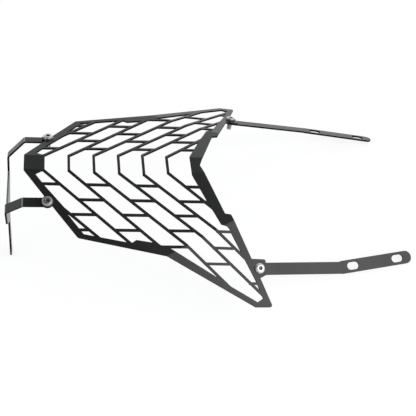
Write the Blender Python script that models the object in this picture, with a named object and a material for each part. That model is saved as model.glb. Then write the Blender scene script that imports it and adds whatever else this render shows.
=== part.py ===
"""Motorcycle headlight guard: a folded lattice panel held by a front bracket with a leg and two slotted straps.

Millimetres in the constants, metres in the scene. +Z is up, -X is the end with the leg, the straps point to +X.
The panel is symmetric about Y = 0. Left is the -Y side.
"""

import math

import bmesh
import bpy
from mathutils import Matrix, Vector

MM = 0.001

# Sheet metal
SHEET = 2.0                     # thickness of panel, bracket and straps
GAP = 0.3                       # air between pieces that touch on the real part
CUT_BEYOND = 1.0                # how far a cutter reaches out of the sheet it cuts
SMOOTH_ANGLE = 35.0             # degrees up to which the facets of a round piece are shaded as one
BEND_RADIUS = 2.0               # inside radius of every fold
WELD = 0.02                     # joins the two mirrored halves

# Stance of the panel: its centre strip falls to the rear
PANEL_FALL = 14.49              # degrees the panel falls to the rear as the guard stands on the floor
PANEL_FRONT_X = -173.6          # front edge of the top face on the centre line
PANEL_FRONT_Z = 157.37

# Folds of the panel, seen in the flat blank (along u, outward w)
CENTRE_FOLD_FRONT = (0.0, 9.6)
CENTRE_FOLD_REAR = (180.0, 11.1)
CENTRE_FOLD_ANGLE = 16.5
OUTER_FOLD_FRONT = (146.8, 106.2)
OUTER_FOLD_REAR = (222.1, 66.2)
OUTER_FOLD_ANGLE = 9.5

# Outline of one half of the blank
PLATE_HALF_WIDTH = 10.3         # half of the front edge
WING_CORNER = (55.7, 85.9)
TIP_FRONT = (242.3, 160.3)
TIP_REAR = (261.7, 160.4)
EAR_LOW_ROOT = (248.9, 129.2)
EAR_LOW_CORNER = (255.3, 126.0)
EAR_TOP_CORNER = (256.0, 108.7)
EAR_TOP_ROOT = (240.0, 108.2)
STEP_OUT = (219.4, 59.6)
STEP_IN = (212.8, 58.6)
RAIL_AT_FOLD = (193.4, 10.3)
NOTCH_APEX = (189.5, 0.0)
REAR_END = 270.0                # behind everything: bars that end in the rail run to it
WING_CORNER_RADIUS = 4.0
TIP_RADIUS = 2.4
EAR_RADIUS = 2.4
STEP_RADIUS = 2.4
LUG_RADIUS = 6.8                # round lug of the front rail under the front bolt
LUG_STEPS = 8

# Inner edge of the rails: everything inside it is open except the bars
FIELD = (
    (20.9, 0.0),
    (20.9, 10.8),
    (18.0, 11.6),
    (12.0, 14.9),
    (61.6, 82.1),
    (110.5, 92.1),
    (115.6, 88.6),
    (134.0, 91.8),
    (150.7, 97.9),
    (202.4, 129.5),
    (213.4, 136.9),
    (244.6, 154.9),
    (251.0, 150.9),
    (243.7, 132.0),
    (234.4, 113.0),
    (218.6, 80.8),
    (216.6, 75.8),
    (214.4, 73.1),
    (207.8, 70.9),
    (201.3, 58.0),
    (195.4, 46.8),
    (179.3, 12.9),
    (179.3, 0.0),
)
# The front rail is wider at the lug than the field's edge gives
RAIL_WIDENING = ((20.0, 26.4), (22.0, 28.4), (44.2, 55.3), (48.9, 59.4), (43.0, 58.8))

# Lattice of bars
BAR = 2.8                       # width of the slanted and straight bars
CHEVRON_PITCH = 26.6
CHEVRON_FIRST = -6.5            # middle line, on the centre line, of the chevron in front of the panel
CHEVRONS = (                    # outward place of the corner, slant of the leg, slant beyond the outer fold
    (11.0, 41.9, 41.9),
    (10.0, 42.6, 42.6),
    (10.4, 42.4, 42.4),
    (11.9, 40.9, 44.3),
    (12.7, 40.0, 43.9),
    (13.9, 40.1, 44.4),
    (11.5, 41.2, 41.2),
)
CHEVRON_REACH = 260.0           # outward end of the legs, beyond the panel
CENTRE_OVERLAP = 2.0            # how far a cutter's half reaches over the centre plane
BAR_STANDS_OUT = 0.5            # each kind of bar stands out of the cell cutter by this more than the one before
TIE_ROWS = (26.7, 44.0, 60.6, 77.6, 95.6, 112.9, 133.2)
TIE_DATUM = 100.0               # place along the panel where a tie has its row's distance
TIE_SLOPE = 0.012               # outward per millimetre to the rear
TIE_SLOPE_OUTER = 0.024         # the same beyond the outer fold
TIE_SPANS = (                   # between which chevrons each tie of a row runs
    ((0, 1), (2, 3), (4, 5), (6, 7)),
    ((-1, 0), (1, 2), (3, 4), (5, 7)),
    ((0, 1), (2, 3), (4, 5), (6, 7)),
    ((-1, 0), (1, 2), (3, 4), (5, 7)),
    ((2, 3), (4, 5)),
    ((3, 4),),
    ((4, 7),),
)

# Bolted joints, places in the flat blank
FRONT_BOLT = (24.7, 46.3)
REAR_BOLT = (248.3, 118.7)
BOLT = 6.0                      # M6
BOLT_CLEARANCE = 0.3            # all round the shank
HEAD_DIAMETER = 10.5
HEAD_HEIGHT = 3.3
HEAD_FLAT = 5.8
HEAD_RIM = 0.6                  # upright band at the foot of the head
SOCKET_ACROSS = 4.0
SOCKET_DEPTH = 2.0
WASHER_DIAMETER = 11.6
WASHER_THICKNESS = 1.0
WASHER_EDGE = 0.2               # chamfer
SHANK_LENGTH = 14.0             # below the head; the straps and the arms take its thread
SHANK_CHAMFER = 0.6
SHOULDER_STEPS = 5              # facets of the head's rounded shoulder
ROUND_SIDES = 40

# Front bracket
BRACKET_FACE_U = -17.4          # rear face of the upright plate, in front of the panel's front edge
ARM_WIDTH = 10.0
ARM_TOP_FOLD = 48.0
ARM_LOW_FOLD = 42.0
ARM_LOW_FOLD_LEVEL = -20.3      # height of the lower fold, square to the wing
WEB_TOP = -50.6                 # top edge of the plate between the arms
WEB_CORNER_LEVEL = -64.5        # where the outer edge turns in towards the leg
WEB_FILLET = 5.0
LEG_WIDTH = 13.0
LEG_ROOT = -96.0
LEG_END = -167.0
LEG_END_RADIUS = 5.0
LEG_ROOT_FILLET = 6.0
LEG_HOLE = 8.5
LEG_HOLE_FROM_END = 8.5

# Straps
STRAP_WIDTH = 13.2
STRAP_END_WIDTH = 14.6          # behind the crease
STRAP_LENGTH = 96.3             # from the ear's bolt to the crease
STRAP_END_LENGTH = 90.5         # from the crease to the round end
STRAP_INWARD = 1.1              # degrees, in the ear's plane, from the panel's length
STRAP_TURN = 7.7                # further turn of the end section in its own plane
STRAP_CREASE = 1.0
STRAP_CREASE_SKEW = 25.0
STRAP_END_RADIUS = 6.6          # round end at the ear, about the bolt
STRAP_WIDENING = 3.0            # length over which the width grows behind the crease
STRAP_ARC_STEP = 12.0           # degrees per facet of the round ends
ROUND_END_CUT = 0.01            # a fully round end keeps this little of its flat
SLOT_LENGTH = 14.6
SLOT_WIDTH = 8.5
SLOT_PLACES = (17.8, 74.2)      # middle of each slot, back from the round end
SLOT_ARC = 10


def clear_scene():
    for obj in list(bpy.data.objects):
        bpy.data.objects.remove(obj, do_unlink=True)
    for group in (bpy.data.meshes, bpy.data.materials):
        for item in list(group):
            group.remove(item)


def material(name, colour, roughness, metallic):
    mat = bpy.data.materials.new(name)
    mat.use_nodes = True
    shader = mat.node_tree.nodes["Principled BSDF"]
    shader.inputs["Base Color"].default_value = (*colour, 1.0)
    shader.inputs["Roughness"].default_value = roughness
    shader.inputs["Metallic"].default_value = metallic
    mat.diffuse_color = (*colour, 1.0)
    return mat


def add_object(name, bm, mat, matrix, smooth=None):
    mesh = bpy.data.meshes.new(name)
    bm.normal_update()
    bm.to_mesh(mesh)
    bm.free()
    mesh.materials.append(mat)
    if smooth is not None:
        mesh.shade_smooth()
        mesh.set_sharp_from_angle(angle=math.radians(smooth))
    obj = bpy.data.objects.new(name, mesh)
    obj.matrix_world = matrix
    bpy.context.scene.collection.objects.link(obj)
    return obj


def add_cutter(name, bm, matrix):
    mesh = bpy.data.meshes.new(name)
    bm.to_mesh(mesh)
    bm.free()
    obj = bpy.data.objects.new(name, mesh)
    obj.matrix_world = matrix
    obj.hide_render = True
    obj.display_type = "WIRE"
    bpy.context.scene.collection.objects.link(obj)
    return obj


def cut(obj, cutter):
    mod = obj.modifiers.new("cut_" + cutter.name, "BOOLEAN")
    mod.operation = "DIFFERENCE"
    mod.solver = "EXACT"
    mod.object = cutter


def apply_modifiers(obj):
    depsgraph = bpy.context.evaluated_depsgraph_get()
    mesh = bpy.data.meshes.new_from_object(obj.evaluated_get(depsgraph))
    obj.modifiers.clear()
    obj.data = mesh


def rounded(points, radii, step=15.0):
    """Outline with the corners that have a radius rounded off."""
    out = []
    count = len(points)
    for i, point in enumerate(points):
        here = Vector(point)
        radius = radii.get(i, 0.0)
        if radius == 0.0:
            out.append(here)
            continue
        back = (Vector(points[i - 1]) - here).normalized()
        ahead = (Vector(points[(i + 1) % count]) - here).normalized()
        half = back.angle(ahead) / 2.0
        centre = here + (back + ahead).normalized() * (radius / math.sin(half))
        start = here + back * (radius / math.tan(half)) - centre
        sweep = start.angle_signed(here + ahead * (radius / math.tan(half)) - centre)
        pieces = max(2, round(abs(math.degrees(sweep)) / step))
        for k in range(pieces + 1):
            turn = Matrix.Rotation(-sweep * k / pieces, 2)
            out.append(centre + turn @ start)
    return out


def plate(outline, low, high):
    """Closed prism of an outline in the XY plane, in millimetres."""
    bm = bmesh.new()
    bottom = [bm.verts.new((p[0], p[1], low)) for p in outline]
    face = bm.faces.new(bottom)
    result = bmesh.ops.extrude_face_region(bm, geom=[face])
    moved = [g for g in result["geom"] if isinstance(g, bmesh.types.BMVert)]
    bmesh.ops.translate(bm, verts=moved, vec=(0.0, 0.0, high - low))
    bmesh.ops.recalc_face_normals(bm, faces=bm.faces)
    return bm


def merge_into(bm, other):
    mesh = bpy.data.meshes.new("merge")
    other.to_mesh(mesh)
    other.free()
    bm.from_mesh(mesh)
    bpy.data.meshes.remove(mesh)


def scale_to_metres(bm):
    bmesh.ops.scale(bm, vec=(MM, MM, MM), verts=bm.verts)


class Fold:
    """A straight fold of a flat sheet whose top face is at z = 0; the far side of the line turns by an angle.

    The line runs from start to end and the sheet on its left turns. A positive angle turns it down.
    """

    def __init__(self, start, end, angle):
        self.start = Vector((start[0], start[1], 0.0))
        along = Vector((end[0] - start[0], end[1] - start[1], 0.0)).normalized()
        self.along = along
        self.out = Vector((-along.y, along.x, 0.0))
        self.angle = math.radians(abs(angle))
        self.down = angle > 0.0
        self.middle = BEND_RADIUS + SHEET / 2.0
        self.half = self.middle * self.angle / 2.0

    def point(self, p):
        p = Vector(p)
        away = (p - self.start).dot(self.out)
        if away <= -self.half:
            return p
        beyond = max(0.0, away - self.half)
        turn = min(self.angle, (away + self.half) / self.middle)
        if self.down:
            centre = -(SHEET + BEND_RADIUS)
            reach = p.z - centre
            z = centre + reach * math.cos(turn) - beyond * math.sin(turn)
        else:
            centre = BEND_RADIUS
            reach = centre - p.z
            z = centre - reach * math.cos(turn) + beyond * math.sin(turn)
        moved = -self.half + reach * math.sin(turn) + beyond * math.cos(turn)
        flat = p - self.out * away
        return Vector((flat.x, flat.y, z)) + self.out * moved

    def sheet(self, bm, pieces):
        """Cut the sheet along the start and end of the bend and between them, then bend it."""
        for k in range(pieces + 1):
            place = self.start + self.out * (self.half * (2.0 * k / pieces - 1.0))
            geom = list(bm.verts) + list(bm.edges) + list(bm.faces)
            bmesh.ops.bisect_plane(bm, geom=geom, dist=0.0005, plane_co=place, plane_no=self.out)
        for vert in bm.verts:
            vert.co = self.point(vert.co)


def centre_fold():
    return Fold(CENTRE_FOLD_FRONT, CENTRE_FOLD_REAR, CENTRE_FOLD_ANGLE)


def outer_fold():
    return Fold(OUTER_FOLD_FRONT, OUTER_FOLD_REAR, OUTER_FOLD_ANGLE)


def facet_frame(place, folds):
    """Frame on the folded panel's top face at a place of the flat blank: x along u, z square to the face."""
    points = [Vector((place[0], place[1], 0.0)) + step for step in (Vector(), Vector((1, 0, 0)), Vector((0, 1, 0)))]
    for fold in folds:
        points = [fold.point(p) for p in points]
    x = (points[1] - points[0]).normalized()
    y = (points[2] - points[0]).normalized()
    z = x.cross(y)
    frame = Matrix((x, y, z)).transposed().to_4x4()
    frame.translation = points[0] * MM
    return frame


def mirrored(frame):
    flip = Matrix.Diagonal((1.0, -1.0, 1.0, 1.0))
    return flip @ frame @ flip


def panel_frame():
    turn = Matrix.Rotation(math.radians(PANEL_FALL), 4, "Y")
    return Matrix.Translation((PANEL_FRONT_X * MM, 0.0, PANEL_FRONT_Z * MM)) @ turn


def panel_outline():
    lug = []
    rail = (Vector(WING_CORNER) - Vector(CENTRE_FOLD_FRONT)).normalized()
    side = Vector((-rail.y, rail.x))
    bolt = Vector(FRONT_BOLT)
    offset = (bolt - Vector((0.0, PLATE_HALF_WIDTH))).dot(side)
    reach = math.acos(max(-1.0, min(1.0, -offset / LUG_RADIUS)))
    for k in range(LUG_STEPS + 1):
        angle = reach * (1.0 - 2.0 * k / LUG_STEPS)
        lug.append(tuple(bolt + LUG_RADIUS * (side * math.cos(angle) - rail * math.sin(angle))))
    points = [(0.0, 0.0), (0.0, PLATE_HALF_WIDTH)] + lug
    radii = {}
    for point, radius in (
        (WING_CORNER, WING_CORNER_RADIUS),
        (OUTER_FOLD_FRONT, 0.0),
        (TIP_FRONT, TIP_RADIUS),
        (TIP_REAR, TIP_RADIUS),
        (EAR_LOW_ROOT, 0.0),
        (EAR_LOW_CORNER, 0.0),
        (EAR_TOP_CORNER, EAR_RADIUS),
        (EAR_TOP_ROOT, 0.0),
        (STEP_OUT, STEP_RADIUS),
        (STEP_IN, 0.0),
        (RAIL_AT_FOLD, 0.0),
        (NOTCH_APEX, 0.0),
    ):
        radii[len(points)] = radius
        points.append(point)
    return rounded(points, radii)


def outer_fold_crossing(start, direction):
    """Where a line of the blank meets the outer fold, or None if it passes in front of the fold."""
    fold = Vector(OUTER_FOLD_FRONT)
    along = (Vector(OUTER_FOLD_REAR) - fold).normalized()
    across = Vector((-along.y, along.x))
    point = start + direction * ((fold - start).dot(across) / direction.dot(across))
    return point if point.x > fold.x else None


def band(path, width):
    """Outline of a bar of even width along a path, with mitred corners."""
    left, right = [], []
    for i, point in enumerate(path):
        before = (point - path[i - 1] if i else path[1] - point).normalized()
        after = (path[i + 1] - point if i + 1 < len(path) else point - path[i - 1]).normalized()
        square = Vector((-before.y, before.x))
        mitre = (square + Vector((-after.y, after.x))).normalized()
        mitre *= width / 2.0 / mitre.dot(square)
        left.append(point + mitre)
        right.append(point - mitre)
    return left + right[::-1]


def chevron_path(index):
    """Middle line of half a chevron: flat across the centre, then slanted, and turned once at the outer fold."""
    corner_out, slant, slant_beyond = CHEVRONS[index]
    middle = CHEVRON_FIRST + CHEVRON_PITCH * index
    corner = Vector((middle, corner_out))
    path = [Vector((middle, -CENTRE_OVERLAP)), corner]
    direction = Vector((math.cos(math.radians(slant)), math.sin(math.radians(slant))))
    turn = outer_fold_crossing(corner, direction)
    if turn is not None and slant_beyond != slant:
        path.append(turn)
        direction = Vector((math.cos(math.radians(slant_beyond)), math.sin(math.radians(slant_beyond))))
    path.append(path[-1] + direction * ((CHEVRON_REACH - path[-1].y) / direction.y))
    return path


def chevron_at(index, out):
    """How far along the panel a chevron's leg is at a distance from the centre line."""
    path = chevron_path(index)
    for low, high in zip(path, path[1:]):
        if low.y <= out <= high.y:
            return low.x + (high.x - low.x) * (out - low.y) / (high.y - low.y)
    return path[-1].x


def tie_path(row, span):
    """Middle line of a tie between two chevrons, or between a chevron and the rail."""
    low = 0.0 if span[0] < 0 else chevron_at(span[0], row)
    high = REAR_END if span[1] >= len(CHEVRONS) else chevron_at(span[1], row)
    start = Vector((low, row + TIE_SLOPE * (low - TIE_DATUM)))
    end = Vector((high, row + TIE_SLOPE * (high - TIE_DATUM)))
    turn = outer_fold_crossing(start, end - start)
    if turn is None or turn.x > high - BAR:
        return [start, end]
    if turn.x < low + BAR:
        turn = start
    end = turn + Vector((high - turn.x, TIE_SLOPE_OUTER * (high - turn.x)))
    return [start, end] if turn is start else [start, turn, end]


def windows_cutter(frame):
    """The open cells: the field inside the rails with the bars taken away."""
    field = [(p[0], p[1] if p[1] > 0.0 else -CENTRE_OVERLAP / 2.0) for p in FIELD]
    bm = plate(field, -SHEET - CUT_BEYOND, CUT_BEYOND)
    scale_to_metres(bm)
    cells = add_cutter("panel_cells", bm, frame)
    bars = bmesh.new()
    high = CUT_BEYOND + BAR_STANDS_OUT
    for index in range(len(CHEVRONS)):
        merge_into(bars, plate(band(chevron_path(index), BAR), -SHEET - high, high))
    high += BAR_STANDS_OUT
    for row, spans in zip(TIE_ROWS, TIE_SPANS):
        for span in spans:
            merge_into(bars, plate(band(tie_path(row, span), BAR), -SHEET - high, high))
    high += BAR_STANDS_OUT
    merge_into(bars, plate(RAIL_WIDENING, -SHEET - high, high))
    scale_to_metres(bars)
    bars_obj = add_cutter("panel_bars", bars, frame)
    cut(cells, bars_obj)
    cells.modifiers[0].use_self = True
    return cells, bars_obj


def build_panel(mat, frame, bolts):
    bm = plate(panel_outline(), -SHEET, 0.0)
    scale_to_metres(bm)
    blank = add_object("panel_blank", bm, mat, frame)
    cells, bars = windows_cutter(frame)
    bpy.context.view_layer.update()
    cut(blank, cells)
    apply_modifiers(blank)

    folded = bmesh.new()
    folded.from_mesh(blank.data)
    for extra in (blank, cells, bars):
        bpy.data.objects.remove(extra, do_unlink=True)
    bmesh.ops.scale(folded, vec=(1.0 / MM, 1.0 / MM, 1.0 / MM), verts=folded.verts)
    bmesh.ops.remove_doubles(folded, verts=folded.verts, dist=0.005)
    outer_fold().sheet(folded, 2)
    centre_fold().sheet(folded, 2)
    scale_to_metres(folded)
    return finish_mirrored("grille_panel", folded, mat, frame, bolts)


def finish_mirrored(name, bm, mat, frame, cutters):
    """Add the other half, join the halves on the centre plane and drill the holes."""
    low = [f for f in bm.faces if all(abs(v.co.y) < 1e-7 for v in f.verts)]
    bmesh.ops.delete(bm, geom=low, context="FACES_ONLY")
    copy = bmesh.ops.duplicate(bm, geom=list(bm.verts) + list(bm.edges) + list(bm.faces))
    verts = [g for g in copy["geom"] if isinstance(g, bmesh.types.BMVert)]
    faces = [g for g in copy["geom"] if isinstance(g, bmesh.types.BMFace)]
    for vert in verts:
        vert.co.y = -vert.co.y
    bmesh.ops.reverse_faces(bm, faces=faces)
    bmesh.ops.remove_doubles(bm, verts=bm.verts, dist=WELD * MM)
    bmesh.ops.dissolve_limit(
        bm, angle_limit=math.radians(0.05), verts=bm.verts, edges=bm.edges, delimit={"NORMAL"}
    )
    obj = add_object(name, bm, mat, frame)
    for cutter in cutters:
        cut(obj, cutter)
    return obj


def bracket_half():
    """Half of the flat bracket: x outward, y up along the upright plate, top face towards the panel."""
    tilt = math.radians(CENTRE_FOLD_ANGLE)
    up = Vector((math.sin(tilt), math.cos(tilt)))
    across = Vector((math.cos(tilt), -math.sin(tilt)))
    foot = Vector((CENTRE_FOLD_FRONT[1], 0.0)) + across * (FRONT_BOLT[1] - CENTRE_FOLD_FRONT[1])
    level = CENTRE_FOLD_FRONT[1] * math.sin(tilt)
    wing_mid = level - 1.5 * SHEET - GAP
    rise = wing_mid - ARM_LOW_FOLD_LEVEL
    slope = math.radians(ARM_TOP_FOLD)
    sloped = rise / math.sin(slope)
    ahead = rise / math.tan(slope)
    flat = FRONT_BOLT[0] - (BRACKET_FACE_U - SHEET / 2.0) - ahead
    origin = foot - up * level
    low_line = origin + up * ARM_LOW_FOLD_LEVEL
    top_line = low_line + up * sloped
    bolt = top_line + up * flat
    half = ARM_WIDTH / 2.0
    arm_out = low_line + across * half
    arm_in = low_line - across * half
    inner_foot = arm_in - up * ((arm_in.y - WEB_TOP) / up.y)
    corner_x = arm_out.x - (arm_out.y - WEB_CORNER_LEVEL) * math.tan(tilt)
    outline = [
        (0.0, LEG_END),
        (LEG_WIDTH / 2.0, LEG_END),
        (LEG_WIDTH / 2.0, LEG_ROOT),
        (corner_x, WEB_CORNER_LEVEL),
        tuple(bolt + across * half),
        tuple(bolt + across * half + up * half),
        tuple(bolt - across * half + up * half),
        tuple(bolt - across * half),
        (inner_foot.x, WEB_TOP),
        (0.0, WEB_TOP),
    ]
    radii = {
        1: LEG_END_RADIUS,
        2: LEG_ROOT_FILLET,
        3: WEB_FILLET,
        5: half - ROUND_END_CUT,
        6: half - ROUND_END_CUT,
        8: WEB_FILLET,
    }
    folds = (
        Fold(top_line + across, top_line - across, -ARM_TOP_FOLD),
        Fold(low_line + across, low_line - across, -ARM_LOW_FOLD),
    )
    return rounded(outline, radii), folds


def build_bracket(mat, frame, bolts):
    outline, folds = bracket_half()
    bm = plate(outline, -SHEET, 0.0)
    for fold in folds:
        turn_side_up(fold)
        fold.sheet(bm, 4)
    # from (outward, up, towards the panel) to the panel's own axes
    axes = Matrix(((0.0, 0.0, 1.0), (1.0, 0.0, 0.0), (0.0, 1.0, 0.0)))
    for vert in bm.verts:
        vert.co = axes @ vert.co + Vector((BRACKET_FACE_U, 0.0, 0.0))
    scale_to_metres(bm)
    return finish_mirrored("front_bracket", bm, mat, frame, bolts)


def turn_side_up(fold):
    """The part that turns is the one further up the arm."""
    if fold.out.y < 0.0:
        fold.out = -fold.out
        fold.along = -fold.along


def strap_slot():
    """Outline of a slot with round ends, lying along x about its own middle."""
    straight = (SLOT_LENGTH - SLOT_WIDTH) / 2.0
    points = []
    for end, start in ((straight, -90.0), (-straight, 90.0)):
        for k in range(SLOT_ARC + 1):
            angle = math.radians(start + 180.0 * k / SLOT_ARC)
            points.append((end + SLOT_WIDTH / 2.0 * math.cos(angle), SLOT_WIDTH / 2.0 * math.sin(angle)))
    return points


def strap_axes():
    """Crease, direction of the end section along and across it, and its round end, in the strap's plane."""
    turn = math.radians(STRAP_TURN)
    crease = Vector((STRAP_LENGTH, 0.0))
    along = Vector((math.cos(turn), -math.sin(turn)))
    across = Vector((math.sin(turn), math.cos(turn)))
    return crease, along, across, crease + along * STRAP_END_LENGTH


def strap_outline():
    half = STRAP_WIDTH / 2.0
    end_half = STRAP_END_WIDTH / 2.0
    crease, along, across, tip = strap_axes()
    shift = math.tan(math.radians(STRAP_TURN / 2.0))
    outline = [
        (-STRAP_END_RADIUS, -half),
        crease + Vector((-half * shift, -half)),
        crease + along * STRAP_WIDENING - across * end_half,
        tip - across * end_half,
        tip + across * end_half,
        crease + along * STRAP_WIDENING + across * end_half,
        crease + Vector((half * shift, half)),
        (-STRAP_END_RADIUS, half),
    ]
    ear_end = STRAP_END_RADIUS - ROUND_END_CUT
    far_end = end_half - ROUND_END_CUT
    return rounded(outline, {0: ear_end, 3: far_end, 4: far_end, 7: ear_end}, STRAP_ARC_STEP)


def strap_slots():
    along, across, tip = strap_axes()[1:]
    slots = bmesh.new()
    for back in SLOT_PLACES:
        middle = tip - along * back
        hole = [middle + along * p[0] + across * p[1] for p in strap_slot()]
        merge_into(slots, plate(hole, -SHEET - CUT_BEYOND, CUT_BEYOND))
    return slots


def build_strap(name, side, mat, frame, bolts):
    """Strap lying under the ear: x away from the ear's bolt, y outward, top face at z = 0."""
    bm = plate(strap_outline(), -SHEET, 0.0)
    slots = strap_slots()
    scale_to_metres(bm)
    scale_to_metres(slots)
    blank = add_object(name, bm, mat, Matrix.Identity(4))
    cutter = add_cutter(name + "_slots", slots, Matrix.Identity(4))
    cut(blank, cutter)
    apply_modifiers(blank)
    bm = bmesh.new()
    bm.from_mesh(blank.data)
    for extra in (blank, cutter):
        bpy.data.objects.remove(extra, do_unlink=True)
    bmesh.ops.scale(bm, vec=(1.0 / MM, 1.0 / MM, 1.0 / MM), verts=bm.verts)
    crease = strap_axes()[0]
    skew = math.radians(STRAP_CREASE_SKEW)
    line = Vector((math.sin(skew), math.cos(skew)))
    fold = Fold(crease + line, crease - line, -STRAP_CREASE)
    if fold.out.x < 0.0:
        fold.out = -fold.out
    fold.sheet(bm, 2)
    scale_to_metres(bm)
    if side < 0:
        for vert in bm.verts:
            vert.co.y = -vert.co.y
        bmesh.ops.reverse_faces(bm, faces=bm.faces)
    obj = add_object(name, bm, mat, frame)
    for cutter in bolts:
        cut(obj, cutter)
    return obj


def lathe(profile, sides):
    """Closed ring or solid from a closed profile of (radius, height), in millimetres."""
    bm = bmesh.new()
    rings = []
    for radius, height in profile:
        if radius == 0.0:
            rings.append([bm.verts.new((0.0, 0.0, height))])
            continue
        ring = []
        for k in range(sides):
            angle = 2.0 * math.pi * k / sides
            ring.append(bm.verts.new((radius * math.cos(angle), radius * math.sin(angle), height)))
        rings.append(ring)
    for first, second in zip(rings, rings[1:] + rings[:1]):
        if len(first) == 1 and len(second) == 1:
            continue
        for k in range(sides):
            a, b = first[k % len(first)], first[(k + 1) % len(first)]
            c, d = second[(k + 1) % len(second)], second[k % len(second)]
            corners = [a]
            for vert in (b, c, d):
                if vert not in corners:
                    corners.append(vert)
            bm.faces.new(corners)
    bmesh.ops.recalc_face_normals(bm, faces=bm.faces)
    return bm


def stack_levels():
    """Heights above the panel's top face: underside of the washer, underside of the head, end of the thread."""
    washer = GAP
    head = washer + WASHER_THICKNESS + GAP
    return washer, head, head - SHANK_LENGTH


def screw_mesh():
    """Button-head screw: flat top, quarter-round shoulder, short upright rim, plain shank."""
    head, end = stack_levels()[1:]
    dome = HEAD_DIAMETER / 2.0
    flat = HEAD_FLAT / 2.0
    shank = BOLT / 2.0
    top = head + HEAD_HEIGHT
    profile = [(0.0, top), (flat, top)]
    for k in range(1, SHOULDER_STEPS + 1):
        angle = math.radians(90.0 * k / SHOULDER_STEPS)
        radius = flat + (dome - flat) * math.sin(angle)
        height = head + HEAD_RIM + (HEAD_HEIGHT - HEAD_RIM) * math.cos(angle)
        profile.append((radius, height))
    profile += [
        (dome, head),
        (shank, head),
        (shank, end + SHANK_CHAMFER),
        (shank - SHANK_CHAMFER, end),
        (0.0, end),
    ]
    return lathe(profile, ROUND_SIDES)


def socket_cutter(name, frame):
    """Hexagon socket of a screw."""
    top = stack_levels()[1] + HEAD_HEIGHT
    radius = SOCKET_ACROSS / 2.0 / math.cos(math.radians(30.0))
    points = [
        (radius * math.cos(math.radians(60.0 * k)), radius * math.sin(math.radians(60.0 * k))) for k in range(6)
    ]
    bm = plate(points, top - SOCKET_DEPTH, top + CUT_BEYOND)
    scale_to_metres(bm)
    return add_cutter(name, bm, frame)


def ring_mesh(inner, outer, low, high, edge):
    profile = [
        (inner, low),
        (outer - edge, low),
        (outer, low + edge),
        (outer, high - edge),
        (outer - edge, high),
        (inner, high),
    ]
    return lathe(profile, ROUND_SIDES)


def bore_cutter(name, diameter, high, low, frame):
    """Round cutter about z, from one height to another."""
    radius = diameter / 2.0
    bm = lathe([(0.0, high), (radius, high), (radius, low), (0.0, low)], ROUND_SIDES)
    scale_to_metres(bm)
    return add_cutter(name, bm, frame)


def build_joint(place, frame, steel):
    washer = stack_levels()[0]
    bm = screw_mesh()
    scale_to_metres(bm)
    screw = add_object("screw_" + place, bm, steel, frame, SMOOTH_ANGLE)
    cut(screw, socket_cutter("socket_" + place, frame))
    bore = BOLT / 2.0 + BOLT_CLEARANCE
    bm = ring_mesh(bore, WASHER_DIAMETER / 2.0, washer, washer + WASHER_THICKNESS, WASHER_EDGE)
    scale_to_metres(bm)
    add_object("washer_" + place, bm, steel, frame, SMOOTH_ANGLE)


def leg_hole(frame):
    middle = BRACKET_FACE_U - SHEET / 2.0
    place = Matrix.Translation((middle * MM, 0.0, (LEG_END + LEG_HOLE_FROM_END) * MM))
    turn = Matrix.Rotation(math.radians(90.0), 4, "Y")
    return bore_cutter("leg_hole", LEG_HOLE, SHEET + CUT_BEYOND, -SHEET - CUT_BEYOND, frame @ place @ turn)


def main():
    clear_scene()
    coat = material("black_coat", (0.022, 0.022, 0.023), 0.42, 0.0)
    bracket_coat = material("bracket_coat", (0.024, 0.024, 0.025), 0.42, 0.0)
    strap_coat = material("strap_coat", (0.024, 0.024, 0.026), 0.45, 0.0)
    steel = material("bright_steel", (0.62, 0.61, 0.58), 0.24, 1.0)

    panel = panel_frame()
    front = facet_frame(FRONT_BOLT, (centre_fold(),))
    rear = facet_frame(REAR_BOLT, (outer_fold(), centre_fold()))
    frames = {
        "front_right": panel @ front,
        "front_left": panel @ mirrored(front),
        "rear_right": panel @ rear,
        "rear_left": panel @ mirrored(rear),
    }
    bore = BOLT + 2.0 * BOLT_CLEARANCE
    low = -2.0 * (SHEET + GAP) - CUT_BEYOND
    holes = {place: bore_cutter("hole_" + place, bore, CUT_BEYOND, low, frame) for place, frame in frames.items()}
    bpy.context.view_layer.update()

    build_panel(coat, panel, list(holes.values()))
    build_bracket(bracket_coat, panel, [holes["front_right"], holes["front_left"], leg_hole(panel)])

    under = Matrix.Translation((0.0, 0.0, -(SHEET + GAP) * MM))
    inward = Matrix.Rotation(math.radians(-STRAP_INWARD), 4, "Z")
    right = rear @ under @ inward
    build_strap("strap_right", 1, strap_coat, panel @ right, [holes["rear_right"]])
    build_strap("strap_left", -1, strap_coat, panel @ mirrored(right), [holes["rear_left"]])

    for place, frame in frames.items():
        build_joint(place, frame, steel)


main()
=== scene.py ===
"""Looks of a motorcycle headlight guard: black powder-coated sheet metal, bright screws, a pale studio."""

import math

import bpy
import numpy as np
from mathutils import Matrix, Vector


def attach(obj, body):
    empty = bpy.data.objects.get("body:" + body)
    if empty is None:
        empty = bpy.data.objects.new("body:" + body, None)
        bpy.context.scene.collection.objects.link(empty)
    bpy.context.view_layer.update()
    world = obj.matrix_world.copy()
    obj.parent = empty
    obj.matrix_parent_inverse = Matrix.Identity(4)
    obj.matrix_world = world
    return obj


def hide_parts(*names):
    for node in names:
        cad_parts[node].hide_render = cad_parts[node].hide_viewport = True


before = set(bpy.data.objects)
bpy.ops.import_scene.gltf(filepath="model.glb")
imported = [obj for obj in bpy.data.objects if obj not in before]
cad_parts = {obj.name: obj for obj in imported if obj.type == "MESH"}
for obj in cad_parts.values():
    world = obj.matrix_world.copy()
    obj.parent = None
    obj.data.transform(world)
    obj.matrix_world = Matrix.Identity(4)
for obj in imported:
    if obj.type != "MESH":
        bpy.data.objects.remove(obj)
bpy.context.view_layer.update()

MM = 0.001
JOINTS = ("front_left", "front_right", "rear_left", "rear_right")

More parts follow.
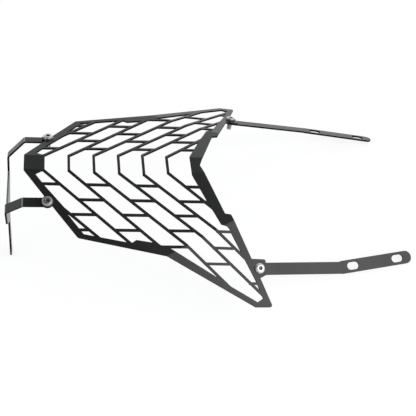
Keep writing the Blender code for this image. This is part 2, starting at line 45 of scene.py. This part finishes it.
# Each coated sheet's joints, the share of its area above which a direction is a flat side and not a cut edge or a
# fold, and the tone of the painted highlight on its sharp folds, which stands in for the light that a bend catches
COATED = {
    "grille_panel": (JOINTS, 0.04, None),
    "front_bracket": (JOINTS[:2], 0.04, 0.3),
    "strap_left": (JOINTS[2:3], 0.1, None),
    "strap_right": (JOINTS[3:], 0.1, None),
}

# Powder coat. A noise is given by its scale, detail and roughness
PEEL = (620.0, 2.0, 0.45)
GRAIN = (2600.0, 1.0, 0.5)
CLOUD = (24.0, 3.0, 0.6)
CLOUD_MIDDLE = (0.35, 0.65)     # the cloud's values between which the tone changes
CLOUD_SPAN = (0.3, 0.7)         # and the roughness
COAT_COLOURS = (0.012, -0.02), (0.017, -0.03)       # tone and warmth where the cloud is low and high
COAT_ROUGHNESS = (0.22, 0.3)
GRAIN_PEAKS = (0.55, 0.7)       # the grain's values between which its specks appear
GRAIN_TONE = 0.03
GRAIN_SHARE = 0.8
RUBBED_TONE = 0.04              # ring round each washer
RUBBED_SHARE = 0.35
RUBBED_RING = (5.9 * MM, 6.8 * MM)
GRAIN_ROUGHNESS = 0.05          # added by the grain, and taken off by the rubbing
PEEL_BUMP = (0.7, 0.08 * MM)    # strength and depth
GRAIN_HEIGHT = 0.35             # against the peel's height

# A cut edge and a fold are told by the cosine of their angle to the nearest side: fully one up to the first value,
# and none of it from the second
EDGE_COSINES = (0.75, 0.85)
FOLD_HIGHLIGHT_COSINES = (0.965, 0.997)
# Cut edges: painted shade, a near-black matt coat in place of the shade and dark reflections on them
EDGE_SHADE_TONE = 0.003
EDGE_ROUGHNESS = 0.85
EDGE_SHINE = 0.08

# Turned steel: tones differ from screw to screw, as in the photograph
SMUDGE = (300.0, 3.0, 0.6)
FINE = (1800.0, 2.0, 0.5)
SMUDGE_PEAKS = (0.45, 0.75)     # the smudges' values between which they show
SMUDGE_SPAN = (0.3, 0.7)        # and between which the roughness changes
SMUDGE_TONE = 0.6               # of the clean tone
SMUDGE_SHARE = 0.5
SMUDGE_ROUGHNESS = (0.85, 1.2)  # of the steel's own roughness
STEEL_WARMTH = 0.02
SMUDGE_WARMTH = 0.04
SOCKET_WARMTH = 0.1
FINE_ROUGHNESS = 0.06
RINGS_HEIGHT = 0.5              # against the fine noise
STEEL_BUMP = (0.25, 0.02 * MM)
SCREW_TONES = {
    "front_left": 0.5,
    "front_right": 0.75,
    "rear_left": 0.88,
    "rear_right": 0.65,
}
SCREW_ROUGHNESS = 0.27
SCREW_RINGS = 0.5 * MM
WASHER_TONE = 0.35
WASHER_ROUGHNESS = 0.3
WASHER_RINGS = 0.35 * MM
SOCKET_TONE = 0.13
SOCKET_WALL = (2.15 * MM, 2.35 * MM)        # dark within the first distance from the axis
SOCKET_SHADE = (0.45 * MM, 0.15 * MM)       # depths under the head's top: dark below the first
SHANK_SHADE = (2.2 * MM, 2.0 * MM)          # and bright again below this

# Screws, on the solids' own sizes: button head with a hexagon socket, thread of the usual pitch
SCREW_SIDES = 48
SHANK_RADIUS = 3.0 * MM
HEAD_RADIUS = 5.25 * MM
HEAD_FLAT_RADIUS = 2.9 * MM
HEAD_RIM = 0.6 * MM
RIM_CHAMFER = 0.12 * MM
NECK = 0.2 * MM                 # fillet under the head
HEAD_UNDERSIDE = 0.8 * MM       # over the washer's middle
HEAD_HEIGHT = 1.9 * MM          # lower than the solid's: the photograph shows flat heads
SHOULDER_STEPS = 12
SOCKET_ACROSS = 4.0 * MM
SOCKET_DEPTH = 1.3 * MM
SOCKET_POINT = 0.4 * MM         # cone that the drill left
MOUTH_DEPTH = 0.25 * MM         # where the hexagon opens into its round mouth
MOUTH_RADIUS = 2.32 * MM
LIP_DEPTH = 0.02 * MM
LIP_RADIUS = 2.5 * MM
THREAD_PITCH = 1.0 * MM
THREAD_DEPTH = 0.5 * MM
THREAD_START = 1.2 * MM         # under the head
THREAD_STEPS = 8                # rows per pitch
FLANK_SLOPE = 2.5
FLANK_CREST = 0.1               # flat left at the thread's crest
SHANK_CHAMFER = 0.6 * MM
SMOOTH_ANGLE = 38.0

# The camera stands in front of the object's left side and looks down on it
CAMERA_PLACE = (5.725 * MM, -539.81 * MM, 742.81 * MM)
CAMERA_TURN = (36.8737, 4.782, -7.0291)
CAMERA_LENS = 64.904
CAMERA_SENSOR = 36.0
CAMERA_NEAR = 0.01

# Studio
FLOOR_SIZE = 60.0
FLOOR_TONE = 0.86
FLOOR_ROUGHNESS = 0.9
FLOOR_SHARE = 0.55              # share of the floor's look that no shadow dims
FLOOR_GLOW = 1.45               # and its strength: with the lit rest the floor comes out white
SKY = (                         # height over the horizon, and the tone of the room there
    (0.0, 1.0),
    (0.2, 0.86),
    (0.62, 0.45),
    (0.9, 0.4),
    (0.97, 0.0),
)
SKY_WARMTH = -0.02
BOX_PLACE = (1.55, -0.87, 1.48)
BOX_TARGET = (0.05, -0.1, 0.06)
BOX_SIZE = (1.3, 1.2)
BOX_POWER = 11.2


class Socket:
    """A shader socket that takes part in arithmetic: an expression adds its Math nodes."""

    def __init__(self, nodes, out):
        self.nodes = nodes
        self.out = out

    def maths(self, operation, *others, swapped=False):
        values = (*others, self) if swapped else (self, *others)
        return self.nodes.add("ShaderNodeMath", {"operation": operation}, dict(enumerate(values)))

    def absolute(self):
        return self.maths("ABSOLUTE")

    def sine(self):
        return self.maths("SINE")

    def maximum(self, other):
        return self.maths("MAXIMUM", other)

    def __add__(self, other):
        return self.maths("ADD", other)

    def __sub__(self, other):
        return self.maths("SUBTRACT", other)

    def __rsub__(self, other):
        return self.maths("SUBTRACT", other, swapped=True)

    def __mul__(self, other):
        return self.maths("MULTIPLY", other)

    __radd__ = __add__
    __rmul__ = __mul__


class Nodes:
    """The node tree of a material or of the world, filled node by node."""

    def __init__(self, owner):
        owner.use_nodes = True
        self.tree = owner.node_tree

    def add(self, kind, settings=None, values=None, out=0):
        """Add a node, set its settings, then its inputs from numbers, colours or sockets, and give one output."""
        node = self.tree.nodes.new(kind)
        for key, value in (settings or {}).items():
            if key == "stops":
                set_stops(node.color_ramp.elements, value)
            else:
                setattr(node, key, value)
        for key, value in (values or {}).items():
            self.feed(node.inputs[key], value)
        return Socket(self, node.outputs[out])

    def feed(self, target, value):
        if isinstance(value, Socket):
            self.tree.links.new(value.out, target)
        else:
            target.default_value = value


class Finish(Nodes):
    """A material with a Principled shader and the patterns that feed it."""

    def __init__(self, name):
        self.material = bpy.data.materials.new(name)
        super().__init__(self.material)
        self.shader = self.tree.nodes["Principled BSDF"]

    def surface(self, **values):
        for key, value in values.items():
            self.feed(self.shader.inputs[key.replace("_", " ")], value)

    def mix(self, share, other):
        """Show another shader in place of the material's own, by a share."""
        own = Socket(self, self.shader.outputs[0])
        mixed = self.add("ShaderNodeMixShader", None, {0: share, 1: own, 2: other})
        self.feed(self.tree.nodes["Material Output"].inputs["Surface"], mixed)

    def place(self):
        return self.add("ShaderNodeTexCoord", out="Object")

    def noise(self, scale, detail, roughness):
        return self.add(
            "ShaderNodeTexNoise", None,
            {"Vector": self.place(), "Scale": scale, "Detail": detail, "Roughness": roughness},
        )

    def rise(self, value, low, high, start=0.0, end=1.0):
        """Straight change of value from low to high turned into start to end, held beyond both."""
        return self.add(
            "ShaderNodeMapRange", {"clamp": True},
            {"Value": value, "From Min": low, "From Max": high, "To Min": start, "To Max": end},
        )

    def fall(self, value, low, high):
        """One up to the low value, nought from the high one."""
        return self.rise(value, low, high, 1.0, 0.0)

    def blend(self, share, first, second):
        """Colour between two colours."""
        return self.add(
            "ShaderNodeMix", {"data_type": "RGBA"},
            {"Factor": share, 6: first, 7: second}, out=2,
        )

    def bump(self, height, strength, depth):
        return self.add(
            "ShaderNodeBump", None,
            {"Height": height, "Strength": strength, "Distance": depth},
        )

    def vector(self, operation, *values, out="Vector"):
        """Vector Math on one or two vectors."""
        return self.add("ShaderNodeVectorMath", {"operation": operation}, dict(enumerate(values)), out)

    def from_axis(self, place):
        """Distance of the surface from a joint's axis: the length of the cross product of the axis's direction and
        the vector from the joint's middle."""
        middle, direction = AXES[place]
        arm = self.vector("SUBTRACT", self.place(), tuple(middle))
        return self.vector("LENGTH", self.vector("CROSS_PRODUCT", arm, tuple(direction)), out="Value")

    def along_axis(self, place):
        """Height of the surface over a joint's middle: the dot product of the same two."""
        middle, direction = AXES[place]
        arm = self.vector("SUBTRACT", self.place(), tuple(middle))
        return self.vector("DOT_PRODUCT", arm, tuple(direction), out="Value")


def set_stops(stops, wanted):
    """Give a colour ramp its stops, from pairs of place and tone, a little cool."""
    while len(stops) < len(wanted):
        stops.new(0.5)
    for stop, (place, tone) in zip(stops, wanted):
        stop.position = place
        stop.color = grey(tone, SKY_WARMTH)


def grey(tone, warmth=0.0):
    """Colour of a tone, warmer or cooler by a small share."""
    return (tone * (1.0 + warmth), tone, tone * (1.0 - warmth), 1.0)


def show(thing):
    """Put an object into the scene."""
    bpy.context.scene.collection.objects.link(thing)


def node_points(node):
    """Every corner of a solid of the frame, one row each."""
    mesh = bpy.data.objects[node].data
    points = np.empty(len(mesh.vertices) * 3)
    mesh.vertices.foreach_get("co", points)
    return points.reshape(-1, 3)


def joint_axis(place):
    """Middle and direction of a bolted joint: its washer is a flat ring, thinnest along the axis."""
    points = node_points("washer_" + place)
    middle = (points.min(axis=0) + points.max(axis=0)) / 2.0
    direction = np.linalg.svd(points - points.mean(axis=0), full_matrices=False)[2][2]
    return middle, direction * np.sign(direction[2])


AXES = {place: joint_axis(place) for place in JOINTS}


def sheet_sides(node, share):
    """Directions of the flat sides of a folded sheet: those that hold a share of its area, either way round.

    A triangle's area and direction are half the cross product of two of its sides. Each direction is turned to
    point up and rounded to a fifth of its length, and the areas are added up by that.
    """
    mesh = bpy.data.objects[node].data
    corners = np.empty(len(mesh.loops), dtype=np.int32)
    mesh.loops.foreach_get("vertex_index", corners)
    first, second, third = node_points(node)[corners.reshape(-1, 3)].transpose(1, 0, 2)
    across = np.cross(second - first, third - first) / 2.0
    area = np.linalg.norm(across, axis=1)
    across = across[area > 0.0]
    area = area[area > 0.0]
    across = across * np.where(across[:, 2:] < 0.0, -1.0, 1.0)
    keys, groups = np.unique(np.round(across / area[:, None] * 5.0), axis=0, return_inverse=True)
    sums = np.zeros((len(keys), 3))
    np.add.at(sums, groups.reshape(-1), across)
    sizes = np.linalg.norm(sums, axis=1)
    return [tuple(side / size) for side, size in zip(sums, sizes) if size > share * area.sum()]


def nearest_side(finish, node, share):
    """Cosine of the surface's angle to the nearest of the sheet's sides: one on a side, less on folds and edges."""
    facing = finish.add("ShaderNodeNewGeometry", out="True Normal")
    nearest = 0.0
    for side in sheet_sides(node, share):
        nearest = finish.vector("DOT_PRODUCT", facing, side, out="Value").absolute().maximum(nearest)
    return nearest


def powder_coat(node, joints, share, fold_highlight_tone):
    """Satin black powder coat: fine orange peel, a slow change of tone, and a rubbed ring round each washer. Cut
    edges
    get painted shade: near black and matt. Sharp folds can get a painted highlight: a pale tone in place of the
    light that a bend catches."""
    finish = Finish(node + "_coat")
    peel = finish.noise(*PEEL)
    grain = finish.noise(*GRAIN)
    cloud = finish.noise(*CLOUD)
    rubbed = sum(finish.fall(finish.from_axis(place), *RUBBED_RING) for place in joints)
    nearest = nearest_side(finish, node, share)
    edge = finish.fall(nearest, *EDGE_COSINES)
    low, high = COAT_COLOURS
    base = finish.blend(finish.rise(cloud, *CLOUD_MIDDLE), grey(*low), grey(*high))
    base = finish.blend(finish.rise(grain, *GRAIN_PEAKS) * GRAIN_SHARE, base, grey(GRAIN_TONE))
    base = finish.blend(rubbed * RUBBED_SHARE, base, grey(RUBBED_TONE))
    # Painted highlight: a pale tone on the sharp folds in place of the light that the bend catches
    if fold_highlight_tone:
        base = finish.blend(finish.fall(nearest, *FOLD_HIGHLIGHT_COSINES) - edge, base, grey(fold_highlight_tone))
    roughness = finish.rise(cloud, *CLOUD_SPAN, *COAT_ROUGHNESS) + (grain - rubbed) * GRAIN_ROUGHNESS
    height = peel + grain * GRAIN_HEIGHT
    finish.surface(Base_Color=base, Roughness=roughness, Normal=finish.bump(height, *PEEL_BUMP))
    # Painted shade: the cut edges get a near-black, matt shader in place of the shade they lie in
    painted_edge_shade = finish.add("ShaderNodeBsdfPrincipled", None, {
        "Base Color": grey(EDGE_SHADE_TONE), "Roughness": EDGE_ROUGHNESS, "Specular IOR Level": EDGE_SHINE,
    })
    finish.mix(edge, painted_edge_shade)
    return finish.material


def turned_steel(name, place, tone, roughness, pitch):
    """Bright steel with the fine rings of turning about the joint's axis, and a few darker smudges."""
    finish = Finish(name)
    rings = (finish.from_axis(place) * (2.0 * math.pi / pitch)).sine()
    smudge = finish.noise(*SMUDGE)
    fine = finish.noise(*FINE)
    dirt = finish.rise(smudge, *SMUDGE_PEAKS) * SMUDGE_SHARE
    base = finish.blend(dirt, grey(tone, STEEL_WARMTH), grey(tone * SMUDGE_TONE, SMUDGE_WARMTH))
    span = (roughness * share for share in SMUDGE_ROUGHNESS)
    rough = finish.rise(smudge, *SMUDGE_SPAN, *span) + fine * FINE_ROUGHNESS
    bump = finish.bump(rings * RINGS_HEIGHT + fine, *STEEL_BUMP)
    finish.surface(Base_Color=base, Roughness=rough, Normal=bump, Metallic=1.0)
    return finish, base


def screw_steel(place, top):
    """Turned steel whose socket is dark inside: oil and shade below the flat top, within the hexagon's width."""
    name = "screw_steel_" + place
    finish, base = turned_steel(name, place, SCREW_TONES[place], SCREW_ROUGHNESS, SCREW_RINGS)
    height = finish.along_axis(place)
    inside = finish.fall(finish.from_axis(place), *SOCKET_WALL)
    below = finish.fall(height, *(top - depth for depth in SOCKET_SHADE))
    head = finish.rise(height, *(top - depth for depth in SHANK_SHADE))
    finish.surface(Base_Color=finish.blend(inside * below * head, base, grey(SOCKET_TONE, SOCKET_WARMTH)))
    return finish.material


def washer_steel(place):
    """Turned steel in a darker tone than the screws' steel."""
    return turned_steel("washer_steel_" + place, place, WASHER_TONE, WASHER_ROUGHNESS, WASHER_RINGS)[0].material


def dress(node, material):
    """Put a material on a solid of the frame."""
    for slot in bpy.data.objects[node].material_slots:
        slot.material = material


def dress_solids():
    for node, (joints, share, fold_highlight_tone) in COATED.items():
        dress(node, powder_coat(node, joints, share, fold_highlight_tone))
    for place in JOINTS:
        dress("washer_" + place, washer_steel(place))


def axis_frame(direction):
    """Three unit directions in columns: two square to the axis, the first near the object's length, then the axis."""
    first = np.array([1.0, 0.0, 0.0])
    first = first - direction * (first @ direction)
    first = first / np.linalg.norm(first)
    return np.column_stack([first, np.cross(direction, first), direction])


def screw_profile(top, underside, end):
    """Radius and height of the screw's rows, from the socket's floor over the head and down the thread to the end.

    The socket's rows are a hexagon: its half width over the cosine of the angle from the nearest flat's middle. The
    shoulder is a quarter of an ellipse from the flat top to the rim. The thread's radius falls and rises with the
    part of a turn that the height and the angle add up to, so it climbs one pitch in a turn.
    """
    turn = screw_turns()
    wedge = np.mod(turn, math.pi / 3.0) - math.pi / 6.0
    hexagon = SOCKET_ACROSS / 2.0 / np.cos(wedge)
    floor = top - SOCKET_DEPTH
    rows = [
        (0.0, floor - SOCKET_POINT),
        (hexagon * 0.75, floor - SOCKET_POINT * 0.25),
        (hexagon, floor),
        (hexagon, top - MOUTH_DEPTH),
        (MOUTH_RADIUS, top - LIP_DEPTH),
        (LIP_RADIUS, top),
    ]
    angle = np.linspace(0.0, math.pi / 2.0, SHOULDER_STEPS + 1)
    rows += zip(
        HEAD_FLAT_RADIUS + (HEAD_RADIUS - HEAD_FLAT_RADIUS) * np.sin(angle),
        underside + HEAD_RIM + (HEAD_HEIGHT - HEAD_RIM) * np.cos(angle),
    )
    rows += [
        (HEAD_RADIUS, underside + RIM_CHAMFER),
        (HEAD_RADIUS - RIM_CHAMFER, underside),
        (SHANK_RADIUS + NECK, underside),
        (SHANK_RADIUS, underside - NECK),
    ]
    thread_top = underside - THREAD_START
    for height in np.arange(thread_top, end + SHANK_CHAMFER, -THREAD_PITCH / THREAD_STEPS):
        part = np.mod(height / THREAD_PITCH + turn / (2.0 * math.pi), 1.0)
        flank = np.clip(np.abs(part - 0.5) * FLANK_SLOPE - FLANK_CREST, 0.0, 1.0)
        ease = min(1.0, (thread_top - height) / THREAD_PITCH)
        rows.append((SHANK_RADIUS - THREAD_DEPTH * ease * flank, height))
    rows += [
        (SHANK_RADIUS - SHANK_CHAMFER, end),
        (0.0, end),
    ]
    radius = np.array([np.broadcast_to(row[0], turn.shape) for row in rows])
    height = np.array([np.broadcast_to(row[1], turn.shape) for row in rows])
    return radius, height


def screw_turns():
    """Angles round the screw, evenly spaced."""
    return np.linspace(0.0, 2.0 * math.pi, SCREW_SIDES, endpoint=False)


def turned_surface(radius, height):
    """Points and faces of a closed surface turned about the third axis.

    On a grid of (profile row, angle), a point is the radius times the cosine and the sine of the angle, at the
    height. The first and last rows have radius nought and are one point each.
    """
    rows, sides = radius.shape
    turn = screw_turns()
    grid = np.stack([radius * np.cos(turn), radius * np.sin(turn), height], axis=2)
    points = np.vstack([grid[0, :1], grid[1:-1].reshape(-1, 3), grid[-1, :1]])
    k = np.arange(sides)
    after = (k + 1) % sides
    first = 1 + np.arange(rows - 3)[:, None] * sides
    quads = np.stack([first + k, first + sides + k, first + sides + after, first + after], axis=2)
    top = np.column_stack([np.zeros(sides, int), 1 + k, 1 + after])
    last = len(points) - 1
    low = last - sides
    bottom = np.column_stack([np.full(sides, last), low + after, low + k])
    return points, quads.reshape(-1, 4).tolist() + top.tolist() + bottom.tolist()


def build_screw(place):
    """Button-head screw along its joint's axis, from the head on the washer down to the solid's own end."""
    middle, direction = AXES[place]
    end = ((node_points("screw_" + place) - middle) @ direction).min()
    top = HEAD_UNDERSIDE + HEAD_HEIGHT
    points, faces = turned_surface(*screw_profile(top, HEAD_UNDERSIDE, end))
    points = points @ axis_frame(direction).T + middle
    mesh = bpy.data.meshes.new("screw")
    mesh.from_pydata(points.tolist(), [], faces)
    mesh.shade_smooth()
    mesh.set_sharp_from_angle(angle=math.radians(SMOOTH_ANGLE))
    mesh.materials.append(screw_steel(place, top))
    screw = bpy.data.objects.new("button_screw_" + place, mesh)
    show(screw)
    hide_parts("screw_" + place)
    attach(screw, "root")


def build_floor():
    """Pale floor that is nearly white to the eye and still takes the object's shadow."""
    half = FLOOR_SIZE / 2.0
    corners = [(-half, -half, 0.0), (half, -half, 0.0), (half, half, 0.0), (-half, half, 0.0)]
    mesh = bpy.data.meshes.new("floor")
    mesh.from_pydata(corners, [], [(0, 1, 2, 3)])
    floor = bpy.data.objects.new("floor", mesh)
    show(floor)
    finish = Finish("floor_paper")
    finish.surface(Base_Color=grey(FLOOR_TONE), Roughness=FLOOR_ROUGHNESS)
    glow = finish.add("ShaderNodeEmission", None, {"Color": grey(1.0), "Strength": FLOOR_GLOW})
    seen, mirrored, through = (
        finish.add("ShaderNodeLightPath", out=ray)
        for ray in ("Is Camera Ray", "Is Glossy Ray", "Is Transmission Ray")
    )
    finish.mix((seen + mirrored + through) * FLOOR_SHARE, glow)
    mesh.materials.append(finish.material)


def soft_box(name, place, target, size, power):
    """Rectangular lamp at a place, turned to a target."""
    lamp = bpy.data.lights.new(name, "AREA")
    lamp.shape = "RECTANGLE"
    lamp.size, lamp.size_y = size
    lamp.energy = power
    light = bpy.data.objects.new(name, lamp)
    light.location = place
    light.rotation_euler = (Vector(target) - Vector(place)).to_track_quat("-Z", "Y").to_euler()
    show(light)


def build_studio():
    """Room that is pale near the horizon and dark overhead, with one soft box above the object's left rear."""
    world = bpy.data.worlds.new("studio")
    bpy.context.scene.world = world
    nodes = Nodes(world)
    place = nodes.add("ShaderNodeTexCoord", out="Generated")
    height = nodes.add("ShaderNodeSeparateXYZ", None, {"Vector": place}, "Z")
    tone = nodes.add("ShaderNodeValToRGB", {"stops": SKY}, {"Fac": height}, "Color")
    nodes.feed(nodes.tree.nodes["Background"].inputs["Color"], tone)
    soft_box("left_box", BOX_PLACE, BOX_TARGET, BOX_SIZE, BOX_POWER)


def build_camera():
    camera = bpy.data.objects.new("camera", bpy.data.cameras.new("camera"))
    camera.location = CAMERA_PLACE
    camera.rotation_euler = [math.radians(turn) for turn in CAMERA_TURN]
    camera.data.lens = CAMERA_LENS
    camera.data.sensor_width = CAMERA_SENSOR
    camera.data.clip_start = CAMERA_NEAR
    show(camera)
    bpy.context.scene.camera = camera


dress_solids()
for joint in JOINTS:
    build_screw(joint)
build_floor()
build_studio()
build_camera()
bpy.context.scene.view_settings.view_transform = "Standard"
